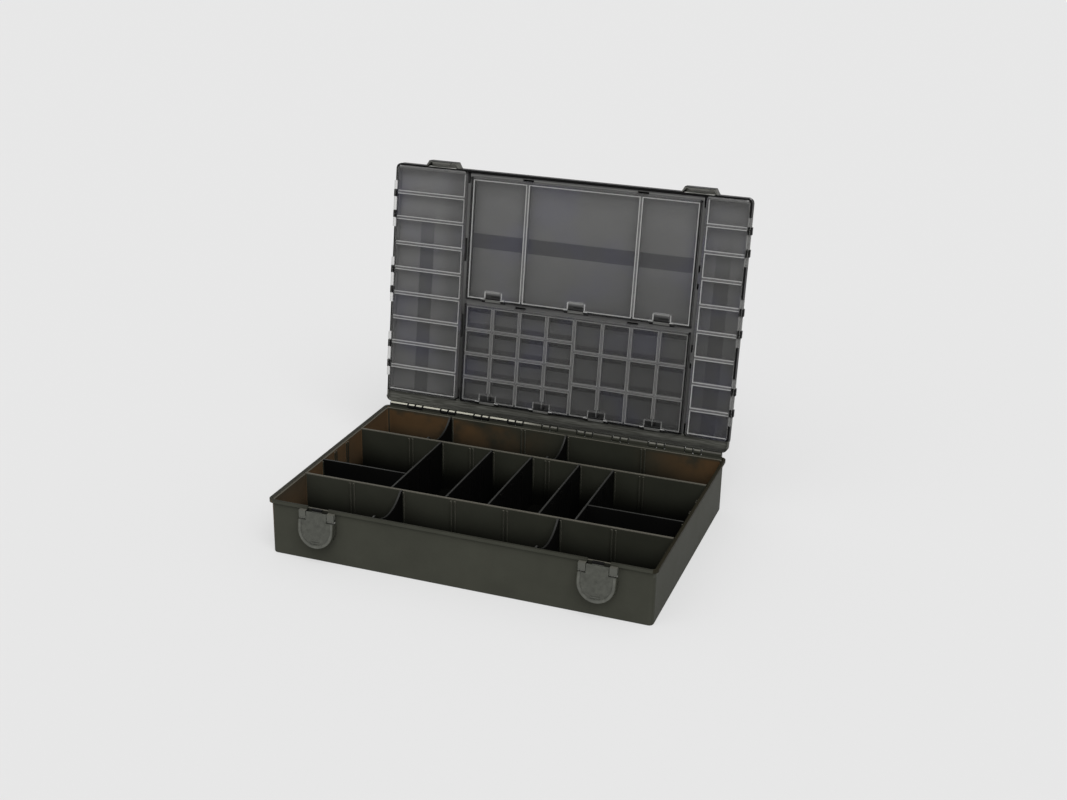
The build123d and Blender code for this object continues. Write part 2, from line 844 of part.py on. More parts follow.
def make_latch():
    """A latch in its shut place, in the middle of the tray's front."""
    front = rim_front - latch_front
    back = front + latch_plate
    flap_top = latch_axis_height - ear_radius - latch_play
    flap = latch_slab(latch_outline(0, flap_top), front, back)
    border = latch_slab(latch_outline(0, flap_top), front - latch_border_height, front)
    inside = latch_outline(latch_border_width, flap_top + latch_border_width + overcut)
    border -= latch_slab(inside, front - latch_border_height, front)
    skirt = latch_slab(latch_outline(0, flap_top), back, rim_front + latch_skirt_back)
    skirt -= latch_slab(latch_outline(latch_skirt, flap_top), back,
                        rim_front + latch_skirt_back)
    half = latch_neck_width / 2
    neck = block(-half, half, front, back, flap_top - root_length, latch_neck_top)
    hub = rod_along_x(-half, half, latch_axis_y, latch_axis_height, latch_hub_radius)
    web = block(-half, half, front, latch_axis_y, latch_axis_height - latch_hub_radius,
                latch_axis_height + latch_hub_radius)
    finger_y1 = rim_front - finger_back
    finger_y0 = finger_y1 - finger_thickness
    half_finger = finger_width / 2
    finger = block(-half_finger, half_finger, finger_y0, finger_y1, latch_axis_height,
                   barb_top)
    barb = block(-half_finger, half_finger, finger_y0 - barb_reach, finger_y1,
                 barb_top - barb_height, barb_top)
    ribs = []
    for i in range(grip_rib_count):
        z = latch_bottom + latch_border_width + (i + 0.5) * grip_rib_pitch
        ribs.append(block(-grip_rib_length / 2, grip_rib_length / 2,
                          front - grip_rib_height, back, z, z + grip_rib_pitch / 2))
    latch = flap + [border, skirt, neck, hub, web, finger, barb] + ribs
    return latch - rod_along_x(-half - overcut, half + overcut, latch_axis_y, latch_axis_height,
                               latch_pin_radius + latch_pin_play)


def make_latch_pin(middle):
    half = latch_neck_width / 2 + slot_play + ear_width
    return rod_along_x(middle - half, middle + half, latch_axis_y, latch_axis_height,
                       latch_pin_radius)


def opened(shape):
    """Turns a piece of the closed lid to its open place."""
    return shape.rotate(hinge_axis, -open_angle)


def all_parts():
    lid = make_lid()
    parts = {"tray": make_tray(), "lid": opened(lid - top_rail_space()),
             "lid_top_rail": opened(lid & top_rail_space()),
             "lid_panel": opened(make_lid_panel())}
    for name, cover in all_covers().items():
        parts[name] = opened(make_cover(cover))
        parts[name.replace("cover", "lid_walls")] = opened(make_compartment_walls(cover))
    latch = make_latch().rotate(latch_axis, -rest_tilt)
    for side, word in ((-1, "left"), (1, "right")):
        parts["hood_" + word] = opened(make_hood(side * latch_offset))
        parts["hinge_rod_" + word] = make_hinge_rod(side)
        parts["latch_" + word] = Pos(side * latch_offset, 0, 0) * latch
        parts["latch_pin_" + word] = make_latch_pin(side * latch_offset)
        parts["short_divider_" + word] = make_short_divider(side)
    for number, slot in enumerate(cross_divider_slot_numbers, 1):
        parts[f"cross_divider_{number}"] = make_cross_divider(middle_slots[slot])
    for word, slot in zip(("left", "right"), front_divider_slot_numbers):
        parts["front_divider_" + word] = make_scooped_divider(front_slots()[slot], -1)
    for word, slot in zip(("left", "right"), back_divider_slot_numbers):
        parts["back_divider_" + word] = make_scooped_divider(back_slots[slot], 1)
    return parts


os.makedirs("parts", exist_ok=True)
for node, shape in all_parts().items():
    export_step(shape, f"parts/{node}.step")
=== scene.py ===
import json
import math

import bmesh
import bpy
from mathutils import Matrix, Vector


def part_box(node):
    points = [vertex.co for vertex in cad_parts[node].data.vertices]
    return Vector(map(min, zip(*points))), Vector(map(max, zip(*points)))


# A flat tackle box with its divided lid open, on a pale floor in soft light.
# Metres. X is along the box, the latches face -Y, Z is up, the floor is at zero.

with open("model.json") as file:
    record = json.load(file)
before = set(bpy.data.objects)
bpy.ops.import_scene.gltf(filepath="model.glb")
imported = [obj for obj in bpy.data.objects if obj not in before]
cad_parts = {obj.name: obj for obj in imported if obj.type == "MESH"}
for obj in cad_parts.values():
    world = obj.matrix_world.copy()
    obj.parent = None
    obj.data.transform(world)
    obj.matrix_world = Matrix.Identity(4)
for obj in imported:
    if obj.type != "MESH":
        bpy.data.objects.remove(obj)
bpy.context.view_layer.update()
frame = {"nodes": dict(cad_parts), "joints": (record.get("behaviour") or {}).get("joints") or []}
nodes = frame["nodes"]
joints = {joint["name"]: joint for joint in frame["joints"]}

# The hinge of the lid, and the directions up and into the opened lid, as shares of Y and Z
_, hinge_y, hinge_z = joints["lid_hinge"]["pos_m"]
open_angle = math.radians(-joints["lid_hinge"]["range_deg"][0])
lid_up = (-math.cos(open_angle), math.sin(open_angle))
lid_deep = (math.sin(open_angle), math.cos(open_angle))


def box_reach(name, axis):
    """Where a piece starts and ends along x, y or z, to a thousandth of a millimetre."""
    return tuple(round(getattr(corner, axis), 6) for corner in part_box(name))


def up_the_lid(place):
    """How far a place is up the opened lid from its hinge, to a thousandth of a millimetre."""
    _, y, z = place
    return round(lid_up[0] * (y - hinge_y) + lid_up[1] * (z - hinge_z), 6)


def reach_up_lid(name):
    """Where a piece starts and ends up the opened lid, measured from the hinge."""
    places = [up_the_lid(vertex.co) for vertex in nodes[name].data.vertices]
    return min(places), max(places)


# Half the width of the soft border between two tones
sharp = 0.0001
soft = 0.0002
softer = 0.0003

# The tray, whose walls stand a little beyond the ends of the dividers in their slots
hinge_above_rim = 0.0013
hinge_behind_rim = 0.0006
slot_play = 0.0003
tray_wall = 0.0016
rim_height = 0.0030
tray_height = hinge_z - hinge_above_rim
half_depth = hinge_y - hinge_behind_rim
bead_bottom = tray_height - rim_height
row_top = box_reach("cross_divider_1", "z")[1]
middle_row_edge = box_reach("cross_divider_1", "y")[1] + slot_play
wall_inner_x = box_reach("short_divider_right", "x")[1] + slot_play
wall_inner_y = box_reach("back_divider_left", "y")[1] + slot_play
wall_outer_y = wall_inner_y + tray_wall
wall_face = 0.0006
front_row_edge = (0.0010 - middle_row_edge, -middle_row_edge)
outer_row_edge = (middle_row_edge + 0.0005, middle_row_edge + 0.0020)
row_wall_reach = (wall_inner_y - 0.002, wall_inner_y - 0.003)
row_top_edge = (row_top - 0.0010, row_top - 0.0006)
rib_reach = wall_inner_x - 0.002
rib_border = 0.0005
right_end_edge = (wall_inner_x - 0.0004, wall_inner_x - sharp)
bead_edge = bead_bottom - 0.0014
bead_border = 0.0004

# The knuckles of the hinge between tray and lid
tray_knuckle_length = 0.0193
lid_knuckle_length = 0.0072
knuckle_gap = 0.0010
knuckle_pitch = tray_knuckle_length + 2 * lid_knuckle_length + 3 * knuckle_gap
knuckle_shine = (hinge_z + 0.0016, hinge_z + 0.0021)
knuckle_fade = (-0.05, 0.0)
knuckle_gap_edge = (0.0007, 0.0012)

# The lid, measured across the box, up from the hinge, and in from the lid's rim
lid_plane_drop = 0.0009
lid_end = reach_up_lid("lid_top_rail")[1]
lid_side = box_reach("lid_panel", "x")[1]
lid_end_edge = (lid_end - 0.0004, lid_end - sharp)
skin_face = 0.0108
skin_outer = (0.0112, 0.0118)
groove_sides = (0.0009, 0.0100)
groove_floor = (0.0042, 0.0046)
seat_floor = (0.0016, 0.0020)
free_edge_across = (lid_side - 0.0012, lid_side - 0.0008)
free_edge_depth = (0.0025, 0.0023)
inner_side_across = (lid_side - 0.0009, lid_side + 0.0004)
inner_side_depth = (0.0025, 0.0104)
wall_top_depth = (0.0024, 0.0020)
band_left = (-0.154, -0.1395)
band_right = (0.149, 0.1635)
band_across = (0.1705, 0.185)
stripe_border = 0.0006
bar_border = 0.0004
strip_groove = (0.0027, 0.0036)
strip_knuckles = (0.0028, 0.0026)

# The lid's covers, without their snap tabs, and the compartments below them
panel_under = 0.0015
cover_axis_inset = 0.0008
snap_tab_reach = 0.0016
cover_start = up_the_lid(joints["lower_cover_hinge"]["pos_m"]) - cover_axis_inset
side_cover_end = reach_up_lid("left_cover")[1]
lower_cover_end = reach_up_lid("lower_cover")[1] - snap_tab_reach
upper_cover_start = up_the_lid(joints["upper_cover_hinge"]["pos_m"]) - cover_axis_inset
upper_cover_end = reach_up_lid("upper_cover")[1] - snap_tab_reach
left_cover_edge = box_reach("left_cover", "x")[1] - snap_tab_reach
centre_left, centre_right = box_reach("upper_cover", "x")
right_cover_edge = box_reach("right_cover", "x")[0] + snap_tab_reach
far_groove = (upper_cover_end, upper_cover_end + 0.0004)
far_ledge = (side_cover_end - 0.0033, side_cover_end - 0.0022)
far_lip_edge = side_cover_end - 0.0031
far_rail_edge = side_cover_end - 0.0011
far_seat = (side_cover_end - 0.0016, side_cover_end + 0.0003)
centre_width = centre_right - centre_left
cover_middle = (centre_left + centre_right) / 2
cell_border = 0.0015
cell_wall = 0.0012
row_field = lower_cover_end - cover_start - 2 * cell_border + cell_wall
row_pitch_left = row_field / 4
row_pitch_right = row_field / 3
wall_shade = 0.0078
foot_shade = 0.0046
foot_shade_share = 0.55
shade_fade = 0.02

# The covers' notches for the lid's lugs, measured sideways and up from the cover's edge
lower_lug_pitch = centre_width / 4
upper_lug_pitch = centre_width * 3 / 8
notch_half = 0.00835
notch_top = 0.0082
notch_middle = 0.0055
notch_low = 0.0027
lug_band = (-0.0010, 0.0018)
lug_shade_half = (notch_half - 0.0028, notch_half - 0.0034)
lug_shade_band = (0.0025, 0.0040)
notch_shade_half = (notch_half - 0.0004, notch_half - 0.0008)
notch_shade_band = (0.0007, 0.0050)
notch_shade_shift = 0.0037
notch_lip_half = (notch_half - 0.0004, notch_half - 0.0006)
notch_lip_band = (0.0085, 0.0110)
arm_end = 0.01235
arm_lip_band = (0.00185, 0.00275)
barrel_top = 0.0021
side_arms = (lid_side, lid_side + 0.0004)

# The latches, their ears on the tray and the hoods over them
latch_middle = joints["latch_right_pivot"]["pos_m"][0]
latch_centre_height = 0.0342
latch_flap_radius = box_reach("latch_right", "x")[1] - latch_middle
latch_border = (0.0142, 0.0146)
latch_rim = (latch_flap_radius - 0.0009, latch_flap_radius - 0.0004)
finger_height = (0.0505, 0.0508)
ear_band = (0.0409, 0.0506)
ear_foot = (0.0440, 0.0430)
rim_notch_half = 0.0104
rim_notch_band = (0.0455, 0.0509)
hood_end = reach_up_lid("hood_right")[1]
hood_edge = (hood_end - 0.0006, hood_end - 0.0003)
hood_inner_depth = (0.0075, 0.0090)
hood_inner_end = (hood_end - 0.0010, hood_end - 0.0014)
hood_inner_half = (0.0150, 0.0140)
hood_outer_depth = (0.0094, 0.0097)
hood_mouth_half = 0.0145
hood_mouth_depth = (0.0092, 0.0088)

# Painted light and shade in the tray: each pair is where it starts and where it is full
shade_to_floor = (0.044, 0.010)
brown_from_floor = (0.010, 0.046)
brown_to_rim = (0.0525, 0.0470)
brown_to_left = (0.02, -0.12)
brown_to_right = (0.08, 0.17)
brown_patch_size = 38.0
brown_patches = (0.22, 0.60)
brown_strength = 1.25
glow_from_floor = (0.006, 0.040)
glow_share = 0.62
front_light_from_floor = (0.014, 0.058)
front_light_to_left = (0.17, -0.05)
front_light_share = 0.6
highlight_edge_height = (0.030, 0.034)
highlight_rib_height = (0.015, 0.040)
bead_light_low = 0.0450
bead_light_share = 0.3
scoop_light_height = (0.036, 0.050)
divider_top_height = (0.0505, 0.0510)

# Painted light and shade in the lid: each pair is where it starts and where it is full
skin_to_right = (-0.05, 0.10)
skin_to_left = (-0.09, -0.12)
skin_upward = (0.05, 0.23)
skin_to_far_end = (0.224, 0.238)
dim_across = (-0.126, left_cover_edge + 0.010)
dim_border = 0.010
dim_share = 0.30
stripe_fade = (0.22, 0.15)
stripe_share = 0.55
groove_to_right = (-0.02, 0.02)
groove_upward = (0.09, 0.15)
strip_to_hinge = (0.010, 0.005)
strip_shade_to_right = (-0.20, -0.04)
strip_shade_share = 0.6
strip_line_size = (60.0, 900.0)
strip_lines = (0.35, 0.65)
smoke_size = 22.0
smoke_clouds = (0.45, 0.7)

# How far up or sideways a face looks where it starts to catch the light, and where fully
facing_up_share = (0.55, 0.75)
facing_sideways_share = (0.7, 0.9)

# Colours, as linear values
olive = (0.047, 0.048, 0.038, 1)
# Painted shade: a darker olive inside the tray and on the knuckles' sides
shaded_olive = (0.027, 0.028, 0.021, 1)
# Painted shade on the rim's top
rim_top_shade = (0.034, 0.034, 0.027, 1)
rim_shade = (0.022, 0.020, 0.013, 1)
# Painted shade deep down in the tray
deep_shade_olive = (0.003, 0.003, 0.0025, 1)
# Painted highlight on the top edges of thin walls and the sides of ribs
wall_edge_highlight = (0.110, 0.104, 0.086, 1)
# Painted brown light and glow on the tray's inner walls
painted_brown_light = (0.075, 0.045, 0.022, 1)
painted_brown_glow = (0.115, 0.072, 0.039, 1)
divider_black = (0.0032, 0.0032, 0.0030, 1)
divider_edge = (0.036, 0.036, 0.034, 1)
latch_grey = (0.074, 0.076, 0.066, 1)
latch_pale = (0.096, 0.098, 0.086, 1)
# Painted highlight on the feet of the latches' ears
foot_highlight = (0.28, 0.28, 0.26, 1)
frame_dark = (0.005, 0.005, 0.005, 1)
hood_grey = (0.110, 0.110, 0.100, 1)
# Painted light inside the hoods and on the lid's edge under them
hood_inner_light = (0.60, 0.60, 0.56, 1)
# Painted light and shade on the groove floors, and painted highlights on the far ledge and seats
groove_shaded = (0.055, 0.055, 0.054, 1)
groove_grey = (0.095, 0.095, 0.093, 1)
groove_lit = (0.150, 0.150, 0.147, 1)
groove_far_lit = (0.200, 0.200, 0.197, 1)
ledge_highlight = (0.33, 0.33, 0.32, 1)
seat_highlight = (0.60, 0.60, 0.59, 1)
# Painted light and shade in and behind the covers' notches, and a painted highlight on the lugs
half_lit_notch = (0.080, 0.080, 0.078, 1)
notch_deep_shade = (0.040, 0.040, 0.040, 1)
lug_highlight = (0.200, 0.200, 0.190, 1)
strip_olive = (0.115, 0.116, 0.103, 1)
strip_dark = (0.060, 0.060, 0.052, 1)
strip_shade = (0.018, 0.018, 0.015, 1)
edge_black = (0.006, 0.006, 0.006, 1)
smoke_grey = (0.085, 0.085, 0.083, 1)
smoke_blue = (0.078, 0.078, 0.105, 1)
lip_grey = (0.85, 0.85, 0.84, 1)
lip_low = (0.50, 0.50, 0.49, 1)
lip_dim = (0.15, 0.15, 0.147, 1)
lip_high = (0.36, 0.36, 0.35, 1)
arm_clear = (0.35, 0.35, 0.34, 1)
arm_pale = (0.45, 0.45, 0.44, 1)
# Painted highlight on the top edges of the lid's walls
wall_top_highlight = (0.30, 0.30, 0.295, 1)
# Painted light through the lid's skin, which varies across and up the lid
skin_grey = (0.265, 0.265, 0.263, 1)
skin_left = (0.345, 0.345, 0.344, 1)
skin_low = (0.140, 0.140, 0.139, 1)
skin_low_right = (0.080, 0.080, 0.079, 1)
skin_low_left = (0.200, 0.200, 0.199, 1)
skin_far = (0.36, 0.36, 0.358, 1)
skin_dark = (0.085, 0.085, 0.094, 1)
steel_grey = (0.10, 0.10, 0.10, 1)
# Painted highlights along the hinge's knuckles: bright, dim and small
knuckle_top_highlight = (0.46, 0.45, 0.38, 1)
knuckle_dim_highlight = (0.085, 0.083, 0.073, 1)
knuckle_small_highlight = (0.14, 0.137, 0.12, 1)
floor_paper = (0.78, 0.78, 0.78, 1)
backdrop = (0.791, 0.791, 0.791, 1)
floor_glow = (0.822, 0.822, 0.822, 1)
room_light = (0.45, 0.45, 0.45, 1)

# Gloss, roughness and clearness
body_gloss = 0.06
tray_gloss = 0.02
side_cover_gloss = 0.42
upper_cover_gloss = 0.36
lower_cover_gloss = 0.26
body_roughness = 0.42
latch_roughness = 0.45
cover_roughness = 0.2
steel_roughness = 0.32
floor_roughness = 0.9
cover_alpha = 0.25
border_alpha = 0.6
floor_glow_share = 0.6

# Marks of the mould on the plastics, and of drawing on the steel
cloud_size = 30.0
cloudiness = 0.2
grain_size = 1500.0
grain_depth = 0.1
edge_radius = 0.0004
grain_height = 0.0002
divider_marks = {"Cloudiness": 0.15}
latch_marks = {"Cloud Size": 220.0, "Cloudiness": 0.5, "Grain Depth": 0.18}
steel_line_size = (20.0, 3000.0)
steel_line_depth = 0.15
steel_line_height = 0.0001

# The camera, fitted to the photograph
photo_width = 1067
focal_pixels = 1474.71
sensor_width = 36
camera_turn, camera_rise, camera_roll = 19.60, 21.64, 1.19
camera_target = (0, -0.0032, 0.030)
camera_distance = 1.37068
camera_right = 0.02728
camera_up = 0.09473

# The lamps: direction from the box, strength, and spread in degrees
key_light = ((0.36, -0.53, 0.76), 1.75, 45)
fill_light = ((-0.30, -0.62, 0.72), 0.5, 60)
floor_radius = 12.0


def add_node(tree, kind, values=None, **settings):
    """One shader node, with its settings and the values of its free sockets."""
    made = tree.nodes.new(kind)
    for name, value in settings.items():
        setattr(made, name, value)
    for name, value in (values or {}).items():
        made.inputs[name].default_value = value
    return made


def plug(tree, source, socket):
    """Links a socket, or sets a plain value."""
    if isinstance(source, bpy.types.NodeSocket):
        tree.links.new(source, socket)
    else:
        socket.default_value = source


def calculate(tree, operation, first, second=0.0):
    """The result of one sum on two values."""
    made = add_node(tree, "ShaderNodeMath", operation=operation)
    plug(tree, first, made.inputs[0])
    plug(tree, second, made.inputs[1])
    return made.outputs[0]


def product(tree, first, *others):
    """All the values multiplied together."""
    for other in others:
        first = calculate(tree, "MULTIPLY", first, other)
    return first


def larger(tree, first, second):
    """The larger of two values."""
    return calculate(tree, "MAXIMUM", first, second)


def distance(tree, value, middle=0.0):
    """How far a value is from the middle, on either side."""
    if middle:
        value = calculate(tree, "SUBTRACT", value, middle)
    return calculate(tree, "ABSOLUTE", value)


def ramp_between(tree, value, start, full):
    """0 before start, 1 beyond full, smooth between. Full may be below start."""
    made = add_node(tree, "ShaderNodeMapRange", interpolation_type="SMOOTHSTEP",
                    values={"From Min": min(start, full), "From Max": max(start, full)})
    made.inputs["To Min"].default_value = 0 if full > start else 1
    made.inputs["To Max"].default_value = 1 if full > start else 0
    plug(tree, value, made.inputs["Value"])
    return made.outputs["Result"]


def above(tree, value, edge, border=soft):
    """1 where value is above the edge."""
    return ramp_between(tree, value, edge - border, edge + border)


def below(tree, value, edge, border=soft):
    """1 where value is below the edge."""
    return ramp_between(tree, value, edge + border, edge - border)


def within(tree, value, low, high, border=soft):
    """1 where value lies between low and high."""
    return product(tree, above(tree, value, low, border), below(tree, value, high, border))


def mix_nodes(tree, data_type, share, first, second):
    """First where share is 0, second where it is 1."""
    made = add_node(tree, "ShaderNodeMix", data_type=data_type)
    plug(tree, share, made.inputs["Factor"])
    plug(tree, first, made.inputs["A"])
    plug(tree, second, made.inputs["B"])
    return made.outputs["Result"]


def blend_colours(tree, share, first, second):
    """First colour where share is 0, second where it is 1."""
    return mix_nodes(tree, "RGBA", share, first, second)


def blend_values(tree, share, first, second):
    """First value where share is 0, second where it is 1."""
    return mix_nodes(tree, "FLOAT", share, first, second)


def noise(tree, vector, size, detail):
    """Noise between 0 and 1."""
    made = add_node(tree, "ShaderNodeTexNoise", values={"Scale": size, "Detail": detail})
    plug(tree, vector, made.inputs["Vector"])
    return made.outputs["Fac"]


def object_vector(tree):
    """The place on the object."""
    return add_node(tree, "ShaderNodeTexCoord").outputs["Object"]


def object_place(tree):
    """The place on the object as x, y and z."""
    split = add_node(tree, "ShaderNodeSeparateXYZ")
    plug(tree, object_vector(tree), split.inputs[0])
    return split.outputs["X"], split.outputs["Y"], split.outputs["Z"]


def lines_along_box(tree, along, across):
    """Noise drawn out along the box, finer across than along."""
    stretch = add_node(tree, "ShaderNodeMapping", values={"Scale": (along, across, across)})
    plug(tree, object_vector(tree), stretch.inputs["Vector"])
    return noise(tree, stretch.outputs[0], 1.0, 2.0)


def place_in_lid(tree):
    """Place in the opened lid: across, up from the hinge, and depth from the lid's rim."""
    group = add_node(tree, "ShaderNodeGroup", node_tree=lid_place)
    return group.outputs["Across"], group.outputs["Up"], group.outputs["Depth"]


def from_lug(tree, cover):
    """Sideways distance from the nearest lug of the Lower or Upper cover."""
    return add_node(tree, "ShaderNodeGroup", node_tree=lid_lugs).outputs[cover]


def tone_notches(tree, colour):
    """Lays the notches' painted light and shade over a colour."""
    notches = add_node(tree, "ShaderNodeGroup", node_tree=lid_notches)
    plug(tree, colour, notches.inputs["Colour"])
    return notches.outputs["Colour"]


def new_group(name, inputs, outputs):
    """An empty node group with named sockets, and its two end nodes."""
    group = bpy.data.node_groups.new(name, "ShaderNodeTree")
    for label, kind, value in inputs:
        socket = group.interface.new_socket(label, in_out="INPUT", socket_type=kind)
        socket.default_value = value
    for label, kind in outputs:
        group.interface.new_socket(label, in_out="OUTPUT", socket_type=kind)
    start = group.nodes.new("NodeGroupInput")
    end = group.nodes.new("NodeGroupOutput")
    return group, start, end


def make_moulded_surface():
    """Moulded plastic: slight cloudiness, fine grain and edges rounded by the mould."""
    group, start, end = new_group(
        "moulded_surface",
        [("Colour", "NodeSocketColor", olive),
         ("Cloud Size", "NodeSocketFloat", cloud_size),
         ("Cloudiness", "NodeSocketFloat", cloudiness),
         ("Grain Size", "NodeSocketFloat", grain_size),
         ("Grain Depth", "NodeSocketFloat", grain_depth),
         ("Edge Radius", "NodeSocketFloat", edge_radius)],
        [("Colour", "NodeSocketColor"), ("Roughness Shift", "NodeSocketFloat"),
         ("Normal", "NodeSocketVector")])
    place = object_vector(group)
    cloud = add_node(group, "ShaderNodeTexNoise", values={"Detail": 4.0, "Roughness": 0.6})
    plug(group, place, cloud.inputs["Vector"])
    plug(group, start.outputs["Cloud Size"], cloud.inputs["Scale"])
    shift = calculate(group, "SUBTRACT", cloud.outputs["Fac"], 0.5)
    swing = product(group, shift, start.outputs["Cloudiness"])
    bright = calculate(group, "ADD", product(group, swing, 2.0), 1.0)
    scaled = add_node(group, "ShaderNodeVectorMath", operation="SCALE")
    plug(group, start.outputs["Colour"], scaled.inputs[0])
    plug(group, bright, scaled.inputs["Scale"])
    plug(group, scaled.outputs[0], end.inputs["Colour"])
    plug(group, swing, end.inputs["Roughness Shift"])
    grain = add_node(group, "ShaderNodeTexNoise", values={"Detail": 2.0})
    plug(group, place, grain.inputs["Vector"])
    plug(group, start.outputs["Grain Size"], grain.inputs["Scale"])
    bevel = add_node(group, "ShaderNodeBevel", samples=6)
    plug(group, start.outputs["Edge Radius"], bevel.inputs["Radius"])
    bump = add_node(group, "ShaderNodeBump", values={"Distance": grain_height})
    plug(group, start.outputs["Grain Depth"], bump.inputs["Strength"])
    plug(group, grain.outputs["Fac"], bump.inputs["Height"])
    plug(group, bevel.outputs[0], bump.inputs["Normal"])
    plug(group, bump.outputs[0], end.inputs["Normal"])
    return group


def make_lid_place():
    """Turns a place on the object into a place in the opened lid."""
    group, _, end = new_group(
        "lid_place", [],
        [("Across", "NodeSocketFloat"), ("Up", "NodeSocketFloat"), ("Depth", "NodeSocketFloat")])
    x, y, z = object_place(group)
    from_y = calculate(group, "SUBTRACT", y, hinge_y)
    from_z = calculate(group, "SUBTRACT", z, hinge_z)
    for label, (y_share, z_share), start_at in (("Up", lid_up, 0.0),
                                                ("Depth", lid_deep, lid_plane_drop)):
        total = calculate(group, "ADD", product(group, from_y, y_share),
                          product(group, from_z, z_share))
        plug(group, calculate(group, "ADD", total, start_at), end.inputs[label])
    plug(group, x, end.inputs["Across"])
    return group


def make_lid_fields():
    """1 over the compartments of the lid, 0 over the frame and the grooves between covers."""
    group, _, end = new_group("lid_fields", [], [("Field", "NodeSocketFloat")])
    across, up, _ = place_in_lid(group)

    def cells_along(start_at, end_at):
        return within(group, up, start_at + cell_border, end_at - cell_border, sharp)

    left = below(group, across, left_cover_edge - cell_border, sharp)
    right = above(group, across, right_cover_edge + cell_border, sharp)
    sides = product(group, larger(group, left, right), cells_along(cover_start, side_cover_end))
    rows = larger(group, cells_along(cover_start, lower_cover_end),
                  cells_along(upper_cover_start, upper_cover_end))
    centre = product(group, rows, within(group, across, centre_left + cell_border,
                                         centre_right - cell_border, sharp))
    plug(group, larger(group, sides, centre), end.inputs["Field"])
    return group


def make_lid_lugs():
    """How far a place is sideways from the nearest lug of the lower or upper cover.

    Ten whole pitches keep the sum above zero, and half a pitch puts the lower cover's lugs
    on either side of its middle. Beyond the covers the distance grows fast, so no notch
    repeats there.
    """
    group, _, end = new_group("lid_lugs", [], [("Lower", "NodeSocketFloat"),
                                               ("Upper", "NodeSocketFloat")])
    across, _, _ = place_in_lid(group)
    from_middle = calculate(group, "SUBTRACT", across, cover_middle)
    beyond = calculate(group, "SUBTRACT", distance(group, from_middle), centre_width / 2)
    beyond = product(group, larger(group, beyond, 0.0), 100.0)
    for cover, pitch, pitches in (("Lower", lower_lug_pitch, 10.5),
                                  ("Upper", upper_lug_pitch, 10.0)):
        shifted = calculate(group, "ADD", from_middle, pitch * pitches)
        nearest = calculate(group, "PINGPONG", shifted, pitch / 2)
        plug(group, calculate(group, "ADD", nearest, beyond), end.inputs[cover])
    return group


def make_lid_notches():
    """Painted light and shade in the notches of the centre covers: half-lit grey, then deep shade,
    then a painted highlight on the lug.
    """
    group, start, end = new_group("lid_notches", [("Colour", "NodeSocketColor", olive)],
                                  [("Colour", "NodeSocketColor")])
    _, up, _ = place_in_lid(group)
    colour = start.outputs["Colour"]
    for cover, edge in (("Lower", cover_start), ("Upper", upper_cover_start)):
        in_notch = ramp_between(group, from_lug(group, cover), notch_half, notch_half - soft)
        for (low, high), tone in (((notch_middle, notch_top), half_lit_notch),
                                  ((notch_low, notch_middle), notch_deep_shade),
                                  (lug_band, lug_highlight)):
            row = within(group, up, edge + low, edge + high)
            colour = blend_colours(group, product(group, in_notch, row), colour, tone)
    plug(group, colour, end.inputs["Colour"])
    return group


def new_material(name):
    """An empty material with its Principled shader."""
    material = bpy.data.materials.new(name)
    material.use_nodes = True
    tree = material.node_tree
    shader = tree.nodes["Principled BSDF"]
    return material, tree, shader


def add_moulding(tree, shader, colour, roughness=body_roughness, marks=None):
    """Runs a colour through the moulded surface and into the shader."""
    group = add_node(tree, "ShaderNodeGroup", node_tree=moulded_surface)
    plug(tree, colour, group.inputs["Colour"])
    for name, value in (marks or {}).items():
        group.inputs[name].default_value = value
    plug(tree, group.outputs["Colour"], shader.inputs["Base Color"])
    plug(tree, calculate(tree, "ADD", group.outputs["Roughness Shift"], roughness),
         shader.inputs["Roughness"])
    plug(tree, group.outputs["Normal"], shader.inputs["Normal"])


def knuckle_light_and_shade(tree, colour, on_knuckle):
    """Painted highlights along the knuckles' tops, less to the right, painted shade on their sides,
    and black painted shade in the gaps between them.

    Twenty pitches keep the sum above zero, and the half pitch puts the gap between two of
    the lid's knuckles on the middle of the box.
    """
    x, _, z = object_place(tree)
    top = ramp_between(tree, z, *knuckle_shine)
    fade = ramp_between(tree, x, *knuckle_fade)
    shine = blend_colours(tree, fade, knuckle_top_highlight, knuckle_dim_highlight)
    small_shine = blend_colours(tree, fade, knuckle_top_highlight, knuckle_small_highlight)
    along = calculate(tree, "ADD", x, 20.5 * knuckle_pitch)
    along = calculate(tree, "FRACT", calculate(tree, "DIVIDE", along, knuckle_pitch))
    side = distance(tree, product(tree, along, knuckle_pitch), knuckle_pitch / 2)
    outer_gap = lid_knuckle_length + knuckle_gap
    gap = calculate(tree, "MINIMUM", distance(tree, side, outer_gap), side)
    top = product(tree, top, ramp_between(tree, gap, *knuckle_gap_edge))
    small = ramp_between(tree, side, outer_gap, outer_gap - soft)
    shine = blend_colours(tree, small, shine, small_shine)
    knuckle_side_shade = blend_colours(tree, fade, edge_black, shaded_olive)
    knuckle = blend_colours(tree, top, knuckle_side_shade, shine)
    return blend_colours(tree, on_knuckle, colour, knuckle)


def face_direction(tree, label):
    """One part of the direction that a face looks in."""
    split = add_node(tree, "ShaderNodeSeparateXYZ")
    plug(tree, add_node(tree, "ShaderNodeNewGeometry").outputs["True Normal"], split.inputs[0])
    return split.outputs[label]


def facing_up(tree):
    """1 on faces that look straight up, where the edges of thin walls catch the light."""
    return ramp_between(tree, face_direction(tree, "Z"), *facing_up_share)


def facing_sideways(tree):
    """1 on faces that look along the box, such as the sides of the slot ribs."""
    sideways = distance(tree, face_direction(tree, "X"))
    return ramp_between(tree, sideways, *facing_sideways_share)


